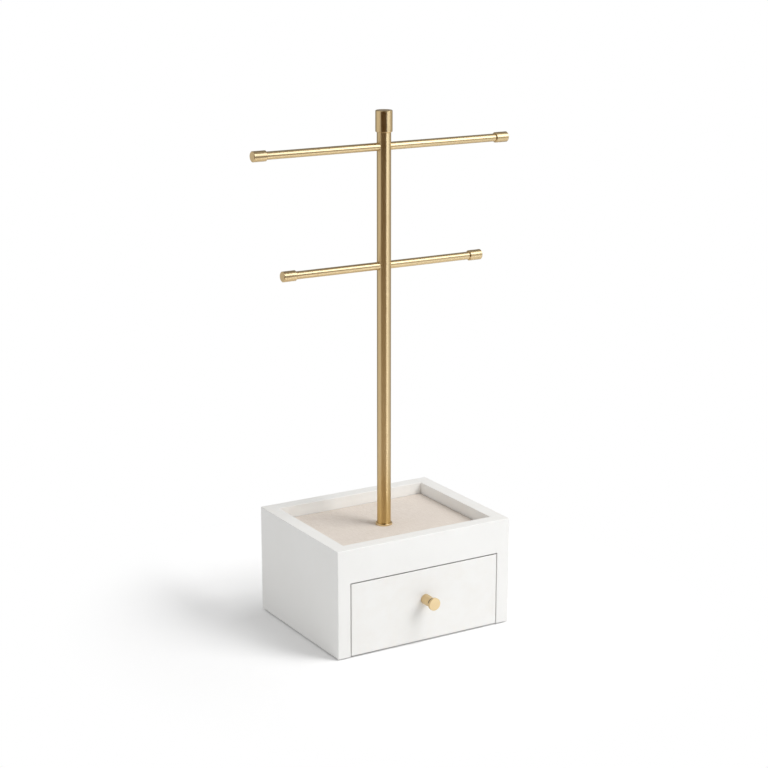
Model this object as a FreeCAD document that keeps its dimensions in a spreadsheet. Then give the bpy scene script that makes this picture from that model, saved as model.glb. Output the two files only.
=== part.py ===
"""Jewellery stand with a drawer: a lacquered board case with a linen tray on top, a drawer in front
and a brass post that carries two cross bars.

Millimetres.  +X is to the right seen from the front, -Y is the front (the drawer side), +Z is up.
The origin is on the table, in the middle of the case and on the axis of the post.
"""
import os

import FreeCAD
import Part
import Sketcher

# ---------------------------------------------------------------- driving dimensions

DIMENSIONS = {
    # case
    "case_width": 180.0,
    "case_depth": 145.6,
    "rim_height": 101.3,        # top of the rim above the table
    "board": 12.8,              # case boards, lacquer included
    "board_easing": 1.0,        # rounding of the outer edges
    "felt": 1.0,                # base felt, which the case stands on
    "felt_inset": 3.0,
    "floor_board": 6.0,         # thickness of the case floor
    "rebate": 6.0,              # how far the case floor is let into the boards
    "stop_gap": 0.3,            # closed drawer front to the edge of the case floor
    # tray on top of the case
    "tray_depth": 11.0,         # rim down to the linen
    "linen": 0.6,
    "card": 1.6,                # board that the linen is laid on
    "lining_gap": 0.3,          # lining to the tray walls
    "deck": 9.0,                # board under the tray
    "housing": 4.0,             # depth of the grooves that hold the deck
    # dowels of the case
    "dowel": 6.0,
    "dowel_in_side": 8.0,
    "dowel_in_end": 12.0,
    "rail_dowel_low": 74.4,
    "high_dowel": 94.8,
    "back_dowel_low": 20.0,
    "back_dowel_mid": 48.0,
    # drawer
    "drawer_top": 69.0,         # top edge of the drawer front above the table
    "reveal": 0.8,              # gap round the drawer front
    "drawer_lift": 0.6,         # drawer front's lower edge above the case's lower edge
    "front_easing": 0.6,
    "box_gap": 1.0,             # drawer box to the case boards
    "box_lift": 0.4,            # drawer box to the case floor
    "box_top": 66.6,            # top edge of the drawer box above the table
    "box_wall": 7.0,
    "box_end": 57.5,            # rear end of the drawer box
    "back_housing": 2.5,        # how far the drawer back is let into the sides
    "drawer_board": 3.0,        # thickness of the drawer bottom
    "drawer_groove": 3.0,       # depth of its grooves
    "groove_height": 3.0,       # lower edge of the sides up to the groove
    "groove_play": 0.1,
    "drawer_felt": 1.5,
    "drawer_felt_gap": 0.4,
    "pin_dowel": 4.0,
    "pin_in_front": 8.0,
    "pin_in_side": 12.0,
    "pin_low": 24.0,
    "pin_high": 52.0,
    # knob and its screw
    "knob_height": 40.5,        # axis above the table
    "knob_length": 16.0,
    "knob_foot": 9.4,           # diameter at the drawer
    "knob_shank": 4.6,          # length of the straight shank
    "knob_waist": 9.0,
    "waist_at": 9.2,            # waist from the drawer front
    "knob_head": 11.7,
    "knob_edge": 1.9,           # thickness of the head at its edge
    "neck_radius": 7.5,         # hollow between the waist and the head
    "knob_easing": 0.35,
    "knob_screw": 4.0,
    "knob_thread": 8.0,         # depth of the threaded hole
    "screw_play": 0.1,          # play in the threads, on the diameter
    "screw_hole": 4.5,
    "screw_head": 7.6,
    "screw_head_height": 2.4,
    "counterbore": 8.6,
    "counterbore_depth": 3.0,
    "screw_in_knob": 7.0,
    "slot_width": 1.0,
    "slot_depth": 1.1,
    # post
    "post": 12.7,
    "post_wall": 1.0,
    "post_hole_play": 0.4,      # hole in the lining, on the diameter
    "cap": 15.2,
    "cap_bottom": 451.9,
    "cap_top": 470.9,
    "cap_roof": 2.0,
    "cap_play": 0.1,
    "cap_easing": 0.5,
    "ring": 15.6,
    "ring_height": 1.9,
    "ring_easing": 0.8,
    "plug_length": 18.0,
    "plug_thread": 16.0,
    "bolt": 5.0,
    "bolt_length": 25.0,
    "bolt_hole": 5.5,
    "bolt_head": 9.5,
    "bolt_head_height": 2.8,
    "hex_key": 3.0,             # across the flats of the socket
    "hex_depth": 1.6,
    "washer": 15.0,
    "washer_thickness": 1.2,
    # cross bars
    "bar_width": 7.1,
    "bar_play": 0.1,
    "upper_bar_height": 439.2,
    "upper_bar_reach": 129.6,   # post axis to the outer end of the end cap
    "lower_bar_height": 333.1,
    "lower_bar_reach": 102.5,
    "bar_easing": 0.4,
    "end_cap": 9.4,
    "end_cap_length": 13.0,
    "end_cap_roof": 2.0,
    "end_cap_easing": 0.5,
}

doc = FreeCAD.newDocument("jewellery_stand")
sheet = doc.addObject("Spreadsheet::Sheet", "sizes")
for row, (alias, millimetres) in enumerate(DIMENSIONS.items(), start=1):
    sheet.set(f"A{row}", alias)
    sheet.set(f"B{row}", str(millimetres))
    sheet.setAlias(f"B{row}", alias)
doc.recompute()


class Size:
    """A length worked out from the sheet: its expression, and its value for a sketch's first guess."""

    def __init__(self, text, value):
        self.text = text
        self.value = value

    def combine(self, sign, other, value):
        text = other.text if isinstance(other, Size) else str(other)
        return Size(f"({self.text} {sign} {text})", value)

    def __add__(self, other):
        return self.combine("+", other, self.value + number(other))

    def __sub__(self, other):
        return self.combine("-", other, self.value - number(other))

    def __mul__(self, factor):
        return self.combine("*", factor, self.value * factor)

    def __truediv__(self, divisor):
        return self.combine("/", divisor, self.value / divisor)

    def __neg__(self):
        return Size(f"(0 - {self.text})", -self.value)


def number(length):
    return length.value if isinstance(length, Size) else length


def size(alias):
    return Size(f"sizes.{alias}", DIMENSIONS[alias])


def bind(thing, path, length):
    """Ties a property to the sheet; a plain number is simply a fixed value."""
    thing.setExpression(path, length.text if isinstance(length, Size) else str(length))


# ---------------------------------------------------------------- sketches and features

TURN_TO_X = FreeCAD.Rotation(FreeCAD.Vector(0, 1, 0), 90)
TURN_TO_MINUS_X = FreeCAD.Rotation(FreeCAD.Vector(0, 1, 0), -90)
TURN_TO_FRONT = FreeCAD.Rotation(FreeCAD.Vector(1, 0, 0), 90)
UPRIGHT = FreeCAD.Rotation()

CLOSE = 0.01                # two places nearer than this are the same
LEAST_CUT = 0.5             # cubic millimetres that any cut must take away
CORNER_PER_FLAT = 0.57735   # a hexagon's corner radius over its width across the flats

nodes = []


def place(thing, at, rotation=UPRIGHT):
    thing.Placement = FreeCAD.Placement(FreeCAD.Vector(*[number(a) for a in at]), rotation)
    for letter, length in zip("xyz", at):
        bind(thing, f"Placement.Base.{letter}", length)


def new_body(label, at, rotation=UPRIGHT):
    body = doc.addObject("PartDesign::Body", label)
    body.Label = label
    place(body, at, rotation)
    nodes.append(body)
    return body


def new_sketch(body, role, name, offset=0):
    plane = next(f for f in body.Origin.OriginFeatures if f.Role == role)
    sketch = body.newObject("Sketcher::SketchObject", name)
    sketch.AttachmentSupport = [(plane, "")]
    sketch.MapMode = "FlatFace"
    bind(sketch, "AttachmentOffset.Base.z", offset)
    return sketch


def pin_point(sketch, item, end, u, v):
    """Holds one end of a line or arc, or a circle's centre, at (u, v) from the sketch's origin."""
    for kind, axis_line, length in (("DistanceX", -2, u), ("DistanceY", -1, v)):
        if number(length) == 0:
            sketch.addConstraint(Sketcher.Constraint("PointOnObject", item, end, axis_line))
            continue
        if number(length) > 0:
            here = sketch.addConstraint(Sketcher.Constraint(kind, -1, 1, item, end, number(length)))
        else:
            length = -length
            here = sketch.addConstraint(Sketcher.Constraint(kind, item, end, -1, 1, number(length)))
        bind(sketch, f"Constraints[{here}]", length)


def arc_through(start, end, radius):
    """The arc of this radius from start to end that bends to the left of the way there."""
    chord = end - start
    left = FreeCAD.Vector(-chord.y, chord.x, 0).normalize()
    middle = (start + end) / 2
    depth = radius - (radius**2 - chord.Length**2 / 4) ** 0.5
    return Part.Arc(start, middle + left * depth, end)


def outline(sketch, points, arcs=()):
    """A closed outline through the points; arcs gives the radius of each hollow side, by its number."""
    arcs = dict(arcs)
    vectors = [FreeCAD.Vector(number(u), number(v), 0) for u, v in points]
    for side, start in enumerate(vectors):
        end = vectors[(side + 1) % len(vectors)]
        if side in arcs:
            sketch.addGeometry(arc_through(start, end, number(arcs[side])))
            here = sketch.addConstraint(Sketcher.Constraint("Radius", side, number(arcs[side])))
            bind(sketch, f"Constraints[{here}]", arcs[side])
        else:
            sketch.addGeometry(Part.LineSegment(start, end))
    for side, (u, v) in enumerate(points):
        # an arc is drawn counter-clockwise, so one that bends to the left runs from its second end
        first_end = 2 if side in arcs else 1
        before = (side - 1) % len(points)
        last_end = 1 if before in arcs else 2
        sketch.addConstraint(Sketcher.Constraint("Coincident", before, last_end, side, first_end))
        pin_point(sketch, side, first_end, u, v)


def rectangle(sketch, u, v):
    outline(sketch, [(u[0], v[0]), (u[1], v[0]), (u[1], v[1]), (u[0], v[1])])


def circle(sketch, u, v, diameter):
    centre = FreeCAD.Vector(number(u), number(v), 0)
    item = sketch.addGeometry(Part.Circle(centre, FreeCAD.Vector(0, 0, 1), number(diameter) / 2))
    pin_point(sketch, item, 3, u, v)
    here = sketch.addConstraint(Sketcher.Constraint("Diameter", item, number(diameter)))
    bind(sketch, f"Constraints[{here}]", diameter)


def pad(body, sketch, length):
    feature = body.newObject("PartDesign::Pad", sketch.Name + "_pad")
    feature.Profile = sketch
    bind(feature, "Length", length)
    doc.recompute()
    return feature


def pocket(body, sketch, depth, along_normal=False):
    """Cuts against the sketch's normal, or along it where that is asked."""
    volume_before = body.Shape.Volume
    feature = body.newObject("PartDesign::Pocket", sketch.Name + "_pocket")
    feature.Profile = sketch
    feature.Reversed = along_normal
    bind(feature, "Length", depth)
    doc.recompute()
    if body.Shape.Volume > volume_before - LEAST_CUT:
        raise RuntimeError(f"{body.Label}: {sketch.Name} cuts nothing")
    return feature


def board(label, lengths, at, rotation=UPRIGHT):
    """A flat board, its own origin in the middle of its underside."""
    body = new_body(label, at, rotation)
    across, along, up = lengths
    sketch = new_sketch(body, "XY_Plane", label + "_face")
    rectangle(sketch, (-across / 2, across / 2), (-along / 2, along / 2))
    pad(body, sketch, up)
    return body


def cut_box(body, name, x, y, z):
    sketch = new_sketch(body, "XY_Plane", name, z[1])
    rectangle(sketch, x, y)
    return pocket(body, sketch, z[1] - z[0])


def from_inner_face(thickness, sign, depth):
    """The span from a board's inner face, which looks away from the side it stands on, into the board."""
    inner = thickness / 2 * -sign
    return (inner, inner + depth) if sign > 0 else (inner - depth, inner)


def drill_x(body, name, centres, diameter, start, depth, towards_plus):
    """Round holes along X from the plane x = start; centres are (y, z)."""
    sketch = new_sketch(body, "YZ_Plane", name, start)
    for y, z in centres:
        circle(sketch, y, z, diameter)
    return pocket(body, sketch, depth, along_normal=towards_plus)


def drill_y(body, name, centres, diameter, start, depth, towards_plus):
    """Round holes along Y from the plane y = start; centres are (x, z).  The XZ plane's normal is -Y."""
    sketch = new_sketch(body, "XZ_Plane", name, -start)
    for x, z in centres:
        circle(sketch, x, z, diameter)
    return pocket(body, sketch, depth, along_normal=not towards_plus)


def drill_z(body, name, diameter, start, depth):
    """A round hole down the body's own Z axis from the plane z = start."""
    sketch = new_sketch(body, "XY_Plane", name, start)
    circle(sketch, 0, 0, diameter)
    return pocket(body, sketch, depth)


def turned(label, points, at, rotation=UPRIGHT, arcs=()):
    """A turned piece: its outline is radius and height, and it stands on its own origin along Z."""
    body = new_body(label, at, rotation)
    sketch = new_sketch(body, "XZ_Plane", label + "_profile")
    outline(sketch, points, arcs)
    feature = body.newObject("PartDesign::Revolution", label + "_turned")
    feature.Profile = sketch
    feature.ReferenceAxis = (sketch, ["V_Axis"])
    feature.Angle = 360
    doc.recompute()
    return body


def ease(body, kind, length, wanted):
    """Fillets or chamfers the edges of the body's last shape that the wanted test picks by their box."""
    shape = body.Tip.Shape
    names = [f"Edge{i}" for i, edge in enumerate(shape.Edges, start=1) if wanted(edge.BoundBox)]
    if not names:
        raise RuntimeError(f"{body.Label}: no edge to ease")
    last = body.Tip
    feature = body.newObject(f"PartDesign::{kind}", f"{body.Label}_{kind.lower()}")
    feature.Base = (last, names)
    bind(feature, "Radius" if kind == "Fillet" else "Size", length)
    doc.recompute()
    return feature


def near(a, b):
    return abs(a - number(b)) < CLOSE


def level_at(height):
    """Picks the edges of a turned piece that lie at this height."""
    return lambda box: near(box.ZMin, height) and near(box.ZMax, height)


def is_level(box):
    return box.ZLength < CLOSE


def group(label, pieces):
    """Identical small pieces that share one node as separate solids."""
    compound = doc.addObject("Part::Compound", label)
    compound.Label = label
    compound.Links = pieces
    nodes.append(compound)
    return compound


def peg(name, diameter, length, at, rotation):
    cylinder = doc.addObject("Part::Cylinder", name)
    bind(cylinder, "Radius", diameter / 2)
    bind(cylinder, "Height", length)
    place(cylinder, at, rotation)
    return cylinder


# ---------------------------------------------------------------- case

half_width = size("case_width") / 2
half_depth = size("case_depth") / 2
inner_x = half_width - size("board")
inner_y = half_depth - size("board")
case_bottom_z = size("felt")
case_height = size("rim_height") - case_bottom_z
floor_top = case_bottom_z + size("floor_board")
tray_floor = size("rim_height") - size("tray_depth")
card_top = tray_floor - size("linen")
deck_top = card_top - size("card")
deck_low = deck_top - size("deck")
rail_low = size("drawer_top") + size("reveal")
floor_front = -inner_y + size("stop_gap")
board_middle_y = half_depth - size("board") / 2

rail_dowels = (size("rail_dowel_low"), size("high_dowel"))
back_dowels = (size("back_dowel_low"), size("back_dowel_mid"), size("high_dowel"))


def side_panel(label, sign):
    """sign is -1 for the left panel and +1 for the right; the inner face looks the other way."""
    body = board(
        label,
        (size("board"), size("case_depth"), case_height),
        ((half_width - size("board") / 2) * sign, 0, case_bottom_z),
    )
    half = size("board") / 2
    ease(
        body,
        "Fillet",
        size("board_easing"),
        lambda box: near(box.ZMin, case_height) and (near(box.XMin * sign, half) or box.YLength < CLOSE)
        or near(box.XMin * sign, half) and box.ZLength > 50 and box.YLength < CLOSE,
    )
    housing_y = inner_y + size("housing")
    cut_box(
        body, label + "_deck_groove", from_inner_face(size("board"), sign, size("housing")),
        (-housing_y, housing_y),
        (deck_low - case_bottom_z, deck_top - case_bottom_z),
    )
    cut_box(
        body, label + "_floor_rebate", from_inner_face(size("board"), sign, size("rebate")),
        (floor_front, inner_y + size("rebate")),
        (0, size("floor_board")),
    )
    centres = [(-board_middle_y, z - case_bottom_z) for z in rail_dowels]
    centres += [(board_middle_y, z - case_bottom_z) for z in back_dowels]
    drill_x(
        body, label + "_dowel_holes", centres, size("dowel"), half * -sign, size("dowel_in_side"),
        towards_plus=sign > 0,
    )
    return body


def cross_board(label, sign, low, dowel_heights, rebate):
    """The front rail (sign -1) or the back panel (+1), which fit between the side panels."""
    height = size("rim_height") - low
    body = board(label, (inner_x * 2, size("board"), height), (0, board_middle_y * sign, low))
    half = size("board") / 2
    ease(
        body,
        "Fillet",
        size("board_easing"),
        lambda box: near(box.ZMin, height) and near(box.YMin * sign, half),
    )
    cut_box(
        body, label + "_deck_groove", (-inner_x, inner_x),
        from_inner_face(size("board"), sign, size("housing")), (deck_low - low, deck_top - low),
    )
    if rebate:
        cut_box(
            body, label + "_floor_rebate", (-inner_x, inner_x),
            from_inner_face(size("board"), sign, size("rebate")), (0, size("floor_board")),
        )
    centres = [(0, z - low) for z in dowel_heights]
    for end in (-1, 1):
        name = f"{label}_dowel_holes_{'left' if end < 0 else 'right'}"
        drill_x(
            body, name, centres, size("dowel"), inner_x * end, size("dowel_in_end"), towards_plus=end < 0
        )
    return body


side_panel("left_side_panel", -1)
side_panel("right_side_panel", 1)
cross_board("front_rail", -1, rail_low, rail_dowels, rebate=False)
cross_board("back_panel", 1, case_bottom_z, back_dowels, rebate=True)

floor_back = inner_y + size("rebate")
board(
    "case_floor",
    ((inner_x + size("rebate")) * 2, floor_back - floor_front, size("floor_board")),
    (0, (floor_back + floor_front) / 2, case_bottom_z),
)

felt_back = half_depth - size("felt_inset")
board(
    "base_felt",
    ((half_width - size("felt_inset")) * 2, felt_back - floor_front, size("felt")),
    (0, (felt_back + floor_front) / 2, 0),
)

housed_x = inner_x + size("housing")
housed_y = inner_y + size("housing")
tray_deck = board("tray_deck", (housed_x * 2, housed_y * 2, size("deck")), (0, 0, deck_low))
drill_z(tray_deck, "bolt_hole", size("bolt_hole"), size("deck"), size("deck"))

lining_width = (inner_x - size("lining_gap")) * 2
lining_depth = (inner_y - size("lining_gap")) * 2
for label, thickness, low in (
    ("tray_card", size("card"), deck_top),
    ("tray_linen", size("linen"), card_top),
):
    lining = board(label, (lining_width, lining_depth, thickness), (0, 0, low))
    drill_z(lining, label + "_hole", size("post") + size("post_hole_play"), thickness, thickness)

case_pegs = []
for sign, side in ((-1, "left"), (1, "right")):
    start_x = inner_x * sign - size("dowel_in_end") if sign > 0 else -inner_x - size("dowel_in_side")
    for y, heights in ((-board_middle_y, rail_dowels), (board_middle_y, back_dowels)):
        for z in heights:
            case_pegs.append(
                peg(
                    f"{side}_dowel_{len(case_pegs) + 1}",
                    size("dowel"),
                    size("dowel_in_side") + size("dowel_in_end"),
                    (start_x, y, z),
                    TURN_TO_X,
                )
            )
group("case_dowels", case_pegs)

# ---------------------------------------------------------------- drawer

box_x = inner_x - size("box_gap")
box_inner_x = box_x - size("box_wall")
box_low = floor_top + size("box_lift")
box_height = size("box_top") - box_low
front_low = case_bottom_z + size("drawer_lift")
front_height = size("drawer_top") - front_low
front_width = (inner_x - size("reveal")) * 2
front_rear_y = -inner_y
box_length = size("box_end") - front_rear_y
groove_low = box_low + size("groove_height")
groove_top = groove_low + size("drawer_board")
pin_x = box_x - size("box_wall") / 2
pin_heights = (size("pin_low"), size("pin_high"))

drawer_front = board(
    "drawer_front",
    (front_width, size("board"), front_height),
    (0, -board_middle_y, front_low),
)
ease(
    drawer_front,
    "Fillet",
    size("front_easing"),
    lambda box: near(box.YMin, size("board") / -2) and near(box.YMax, size("board") / -2),
)
rear = size("board") / 2
cut_box(
    drawer_front, "front_groove", (-box_inner_x, box_inner_x), (rear - size("drawer_groove"), rear),
    (groove_low - front_low, groove_top - front_low),
)
drill_y(
    drawer_front, "front_pin_holes",
    [(pin_x * sign, z - front_low) for sign in (-1, 1) for z in pin_heights],
    size("pin_dowel"), rear, size("pin_in_front"), towards_plus=False,
)
knob_centre = [(0, size("knob_height") - front_low)]
drill_y(drawer_front, "screw_counterbore", knob_centre, size("counterbore"), rear,
        size("counterbore_depth"), towards_plus=False)
drill_y(drawer_front, "screw_hole", knob_centre, size("screw_hole"), rear,
        size("board"), towards_plus=False)


def drawer_side(label, sign):
    body = board(
        label,
        (size("box_wall"), box_length, box_height),
        (pin_x * sign, (size("box_end") + front_rear_y) / 2, box_low),
    )
    cut_box(
        body, label + "_groove", from_inner_face(size("box_wall"), sign, size("drawer_groove")),
        (-box_length / 2, box_length / 2),
        (size("groove_height"), size("groove_height") + size("drawer_board")),
    )
    cut_box(
        body, label + "_back_housing", from_inner_face(size("box_wall"), sign, size("back_housing")),
        (box_length / 2 - size("box_wall"), box_length / 2), (groove_top - box_low, box_height),
    )
    drill_y(
        body, label + "_pin_holes", [(0, z - box_low) for z in pin_heights],
        size("pin_dowel"), -box_length / 2, size("pin_in_side"), towards_plus=True,
    )
    return body


drawer_side("drawer_left_side", -1)
drawer_side("drawer_right_side", 1)

board(
    "drawer_back",
    ((box_inner_x + size("back_housing")) * 2, size("box_wall"), size("box_top") - groove_top),
    (0, size("box_end") - size("box_wall") / 2, groove_top),
)

bottom_front = front_rear_y - size("drawer_groove") + size("groove_play")
# the bottom board fills its groove in the front only between the drawer sides: its front corners are notched
drawer_bottom = board(
    "drawer_bottom",
    (
        (box_inner_x + size("drawer_groove") - size("groove_play")) * 2,
        size("box_end") - bottom_front,
        size("drawer_board"),
    ),
    (0, (size("box_end") + bottom_front) / 2, groove_low),
)
bottom_half_x = box_inner_x + size("drawer_groove")
bottom_half_y = (size("box_end") - bottom_front) / 2
for sign, side in ((-1, "left"), (1, "right")):
    notch = (box_inner_x, bottom_half_x) if sign > 0 else (-bottom_half_x, -box_inner_x)
    cut_box(
        drawer_bottom, f"{side}_notch", notch,
        (-bottom_half_y, -bottom_half_y + size("drawer_groove")), (0, size("drawer_board")),
    )

drawer_felt_front = front_rear_y + size("drawer_felt_gap")
drawer_felt_back = size("box_end") - size("box_wall") - size("drawer_felt_gap")
board(
    "drawer_felt",
    (
        (box_inner_x - size("drawer_felt_gap")) * 2,
        drawer_felt_back - drawer_felt_front,
        size("drawer_felt"),
    ),
    (0, (drawer_felt_back + drawer_felt_front) / 2, groove_top),
)

group(
    "drawer_dowels",
    [
        peg(
            f"{side}_pin_{place_name}",
            size("pin_dowel"),
            size("pin_in_front") + size("pin_in_side"),
            (pin_x * sign, front_rear_y + size("pin_in_side"), z),
            TURN_TO_FRONT,
        )
        for sign, side in ((-1, "left"), (1, "right"))
        for place_name, z in zip(("low", "high"), pin_heights)
    ],
)

# ---------------------------------------------------------------- knob and its screw

head_r = size("knob_head") / 2
waist_r = size("knob_waist") / 2
foot_r = size("knob_foot") / 2
head_rear = size("knob_length") - size("knob_edge")
drawer_knob = turned(
    "drawer_knob",
    [
        (0, 0),
        (foot_r, 0),
        (foot_r, size("knob_shank")),
        (waist_r, size("waist_at")),
        (head_r, head_rear),
        (head_r, size("knob_length")),
        (0, size("knob_length")),
    ],
    (0, -half_depth, size("knob_height")),
    TURN_TO_FRONT,
    arcs={3: size("neck_radius")},
)
ease(drawer_knob, "Fillet", size("knob_easing"), level_at(size("knob_length")))
thread_sketch = new_sketch(drawer_knob, "XY_Plane", "knob_thread")
circle(thread_sketch, 0, 0, size("knob_screw") + size("screw_play"))
pocket(drawer_knob, thread_sketch, size("knob_thread"), along_normal=True)

screw_seat_y = front_rear_y - size("counterbore_depth")
shank_length = size("screw_in_knob") + half_depth + screw_seat_y
knob_screw = turned(
    "knob_screw",
    [
        (0, -size("screw_head_height")),
        (size("screw_head") / 2, -size("screw_head_height")),
        (size("screw_head") / 2, 0),
        (size("knob_screw") / 2, 0),
        (size("knob_screw") / 2, shank_length),
        (0, shank_length),
    ],
    (0, screw_seat_y, size("knob_height")),
    TURN_TO_FRONT,
)
ease(knob_screw, "Fillet", size("screw_head_height") / 3, level_at(-size("screw_head_height")))
cut_box(
    knob_screw, "driver_slot", (-size("screw_head") / 2, size("screw_head") / 2),
    (size("slot_width") / -2, size("slot_width") / 2),
    (-size("screw_head_height"), size("slot_depth") - size("screw_head_height")),
)

# ---------------------------------------------------------------- post

tube_top = size("cap_top") - size("cap_roof")
tube_length = tube_top - deck_top
post_tube = turned(
    "post_tube",
    [
        (size("post") / 2 - size("post_wall"), 0),
        (size("post") / 2, 0),
        (size("post") / 2, tube_length),
        (size("post") / 2 - size("post_wall"), tube_length),
    ],
    (0, 0, deck_top),
)
bar_heights = {"upper": size("upper_bar_height"), "lower": size("lower_bar_height")}
drill_x(
    post_tube, "bar_holes", [(0, z - deck_top) for z in bar_heights.values()],
    size("bar_width") + size("bar_play"), -size("post"), size("post") * 2, towards_plus=True,
)

cap_length = size("cap_top") - size("cap_bottom")
post_cap = turned(
    "post_cap",
    [(0, 0), (size("cap") / 2, 0), (size("cap") / 2, cap_length), (0, cap_length)],
    (0, 0, size("cap_bottom")),
)
ease(post_cap, "Chamfer", size("cap_easing"), is_level)
cap_bore = new_sketch(post_cap, "XY_Plane", "post_cap_bore")
circle(cap_bore, 0, 0, size("post") + size("cap_play"))
pocket(post_cap, cap_bore, cap_length - size("cap_roof"), along_normal=True)

base_ring = turned(
    "post_base_ring",
    [
        (size("post") / 2, 0),
        (size("ring") / 2, 0),
        (size("ring") / 2, size("ring_height")),
        (size("post") / 2, size("ring_height")),
    ],
    (0, 0, tray_floor),
)
ease(
    base_ring, "Fillet", size("ring_easing"),
    lambda box: near(box.ZMin, size("ring_height")) and near(box.XMax, size("ring") / 2),
)

plug_r = size("post") / 2 - size("post_wall")
post_plug = turned(
    "post_plug",
    [(0, 0), (plug_r, 0), (plug_r, size("plug_length")), (0, size("plug_length"))],
    (0, 0, deck_top),
)
plug_thread = new_sketch(post_plug, "XY_Plane", "plug_thread")
circle(plug_thread, 0, 0, size("bolt") + size("screw_play"))
pocket(post_plug, plug_thread, size("plug_thread"), along_normal=True)

washer_low = deck_low - size("washer_thickness")
turned(
    "post_washer",
    [
        (size("bolt_hole") / 2, 0),
        (size("washer") / 2, 0),
        (size("washer") / 2, size("washer_thickness")),
        (size("bolt_hole") / 2, size("washer_thickness")),
    ],
    (0, 0, washer_low),
)

post_bolt = turned(
    "post_bolt",
    [
        (0, -size("bolt_head_height")),
        (size("bolt_head") / 2, -size("bolt_head_height")),
        (size("bolt_head") / 2, 0),
        (size("bolt") / 2, 0),
        (size("bolt") / 2, size("bolt_length")),
        (0, size("bolt_length")),
    ],
    (0, 0, washer_low),
)
ease(post_bolt, "Fillet", size("bolt_head_height") / 2, level_at(-size("bolt_head_height")))
hex_sketch = new_sketch(post_bolt, "XY_Plane", "hex_socket", -size("bolt_head_height"))
flat = size("hex_key") / 2
corner = size("hex_key") * CORNER_PER_FLAT
outline(
    hex_sketch,
    [
        (corner, 0),
        (corner / 2, flat),
        (-corner / 2, flat),
        (-corner, 0),
        (-corner / 2, -flat),
        (corner / 2, -flat),
    ],
)
pocket(post_bolt, hex_sketch, size("hex_depth"), along_normal=True)

# ---------------------------------------------------------------- cross bars and their end caps

for level, height in bar_heights.items():
    reach = size(f"{level}_bar_reach")
    bar_length = (reach - size("end_cap_roof")) * 2
    bar = turned(
        f"{level}_bar",
        [(0, 0), (size("bar_width") / 2, 0), (size("bar_width") / 2, bar_length), (0, bar_length)],
        (bar_length / -2, 0, height),
        TURN_TO_X,
    )
    ease(bar, "Chamfer", size("bar_easing"), is_level)
    for side, sign, rotation in (("left", -1, TURN_TO_MINUS_X), ("right", 1, TURN_TO_X)):
        name = f"{level}_{side}_end_cap"
        end_cap = turned(
            name,
            [
                (0, 0),
                (size("end_cap") / 2, 0),
                (size("end_cap") / 2, size("end_cap_length")),
                (0, size("end_cap_length")),
            ],
            ((reach - size("end_cap_length")) * sign, 0, height),
            rotation,
        )
        ease(end_cap, "Chamfer", size("end_cap_easing"), is_level)
        bore = new_sketch(end_cap, "XY_Plane", name + "_bore")
        circle(bore, 0, 0, size("bar_width") + size("bar_play"))
        pocket(end_cap, bore, size("end_cap_length") - size("end_cap_roof"), along_normal=True)

# ---------------------------------------------------------------- checks and files

doc.recompute()
for thing in doc.Objects:
    faults = {"Invalid", "Error"} & set(thing.State)
    if faults:
        raise RuntimeError(f"{thing.Label} is {', '.join(sorted(faults))}")
for node in nodes:
    if node.Shape.isNull() or not node.Shape.isValid():
        raise RuntimeError(f"{node.Label} has no valid shape")

os.makedirs("parts", exist_ok=True)
for node in nodes:
    node.Shape.exportStep(f"parts/{node.Label}.step")
    box = node.Shape.BoundBox
    print(
        f"{node.Label:24s} solids {len(node.Shape.Solids):2d}  volume {node.Shape.Volume:10.1f}  "
        f"x {box.XMin:7.2f} {box.XMax:7.2f}  y {box.YMin:7.2f} {box.YMax:7.2f}  "
        f"z {box.ZMin:7.2f} {box.ZMax:7.2f}"
    )
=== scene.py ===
"""Jewellery stand: a white lacquered case with a linen tray and a drawer, and a brass post with two bars.

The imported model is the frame. The case's painted skin, the linen and the two felts are made here, and
every other solid keeps its shape and gets its finish here. Metres; X to the right, Y to the back, Z up.
"""

import math

import bmesh
import bpy
from mathutils import Matrix, Vector, noise


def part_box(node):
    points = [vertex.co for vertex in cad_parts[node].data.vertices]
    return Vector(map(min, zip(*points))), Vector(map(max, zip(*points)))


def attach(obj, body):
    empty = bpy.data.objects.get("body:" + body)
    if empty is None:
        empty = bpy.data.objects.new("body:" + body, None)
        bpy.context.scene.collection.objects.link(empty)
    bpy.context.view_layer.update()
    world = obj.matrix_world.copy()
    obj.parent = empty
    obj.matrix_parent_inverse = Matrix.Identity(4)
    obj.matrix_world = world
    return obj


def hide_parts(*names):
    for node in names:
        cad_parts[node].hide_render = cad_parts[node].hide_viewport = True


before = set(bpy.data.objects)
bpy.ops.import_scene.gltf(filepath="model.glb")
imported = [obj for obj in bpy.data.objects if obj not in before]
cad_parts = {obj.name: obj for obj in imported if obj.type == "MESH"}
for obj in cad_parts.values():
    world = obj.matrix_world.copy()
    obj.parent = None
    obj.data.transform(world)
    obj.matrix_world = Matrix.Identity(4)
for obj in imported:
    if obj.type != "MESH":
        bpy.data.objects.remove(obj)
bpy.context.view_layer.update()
scene = bpy.context.scene

MM = 0.001

# ---------------------------------------------------------------- sizes read from the frame

right_low, right_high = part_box("right_side_panel")
rail_low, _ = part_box("front_rail")
deck_low, deck_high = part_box("tray_deck")
_, floor_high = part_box("case_floor")
drawer_low, drawer_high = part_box("drawer_front")
knob_low, knob_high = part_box("drawer_knob")
_, post_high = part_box("post_tube")

half_width = right_high[0]
half_depth = right_high[1]
case_bottom = right_low[2]
case_top = right_high[2]
wall = right_high[0] - right_low[0]
inner_x = right_low[0]
inner_y = half_depth - wall
groove_depth = deck_high[0] - inner_x
rebate_depth = floor_high[0] - inner_x
opening_top = rail_low[2]
knob_axis_height = (knob_low[2] + knob_high[2]) / 2
post_hole = post_high[0] + 0.2 * MM     # radius of the hole in the linen


# ---------------------------------------------------------------- camera

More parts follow.
